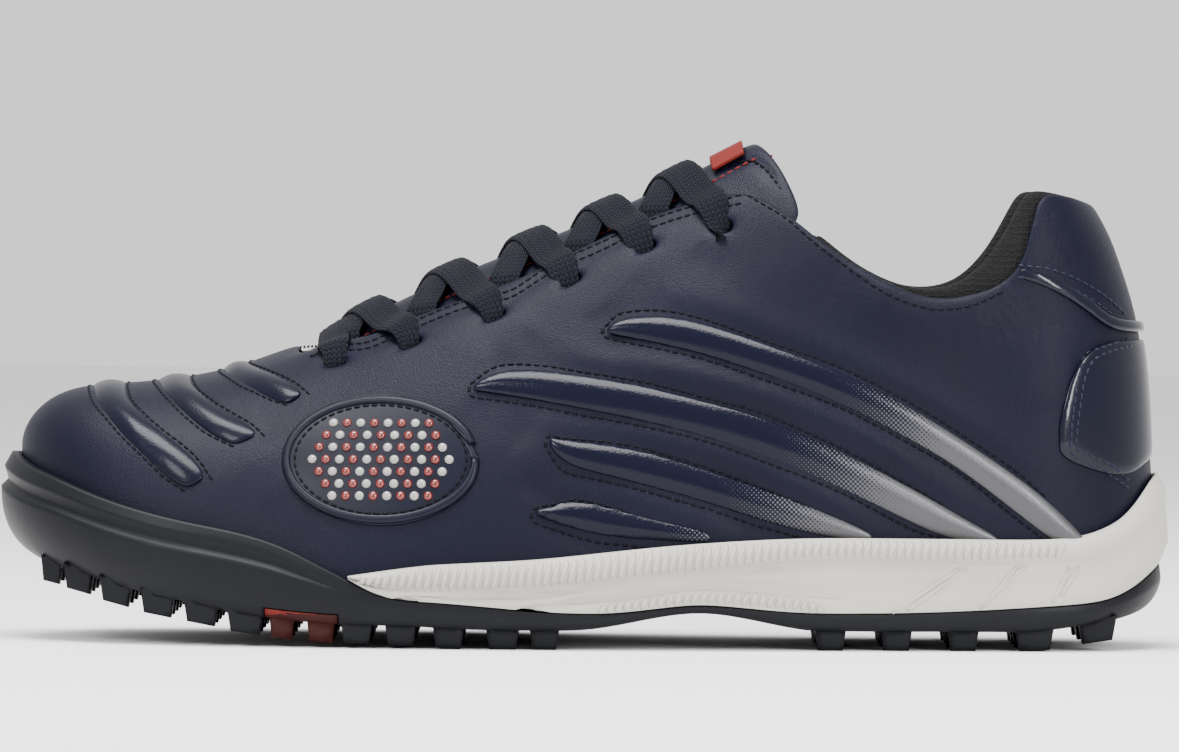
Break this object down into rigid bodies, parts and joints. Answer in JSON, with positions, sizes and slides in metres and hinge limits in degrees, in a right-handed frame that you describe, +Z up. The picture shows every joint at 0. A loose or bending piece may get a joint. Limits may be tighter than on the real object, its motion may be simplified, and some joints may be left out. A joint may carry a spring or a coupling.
{
  "type": "turf shoe",
  "caption": "Low left turf training shoe: navy leather upper with padded ribs, laces and tongue, off-white foam midsole, black rubber outsole with short blocky studs.",
  "frame": {"origin": "on the floor under the middle of the shoe's length and width", "axes": "+X from toe to heel, +Y from the outer to the inner side, +Z up"},
  "size_m": [0.29, 0.1039, 0.125],
  "materials": {
    "navy_leather": "matte grained",
    "gloss_navy": "glossy",
    "black_rubber": "satin",
    "red_rubber": "satin",
    "white_foam": "matte foam",
    "lining_cloth": "knitted",
    "red_cloth": "woven",
    "lace_webbing": "woven"
  },
  "bodies": {
    "root": {"collar_lining": "lining_cloth", "forefoot_insert": "red_rubber", "heel_counter": "gloss_navy", "heel_insert": "red_rubber", "heel_strap": "gloss_navy", "insole": "lining_cloth", "lace_bar": "lace_webbing", "lace_crossing_1": "lace_webbing", "lace_crossing_2": "lace_webbing", "lace_crossing_3": "lace_webbing", "lace_crossing_4": "lace_webbing", "lace_crossing_5": "lace_webbing", "midsole": "white_foam", "outsole": "black_rubber", "side_patch": "gloss_navy", "side_rib_1_inner": "gloss_navy", "side_rib_1_outer": "gloss_navy", "side_rib_2_inner": "gloss_navy", "side_rib_2_outer": "gloss_navy", "side_rib_3_inner": "gloss_navy", "side_rib_3_outer": "gloss_navy", "side_rib_4_inner": "gloss_navy", "side_rib_4_outer": "gloss_navy", "toe_rib_1": "navy_leather", "toe_rib_2": "navy_leather", "toe_rib_3": "navy_leather", "tongue": "navy_leather", "tongue_label": "red_cloth", "upper": "navy_leather"}
  },
  "joints": []
}
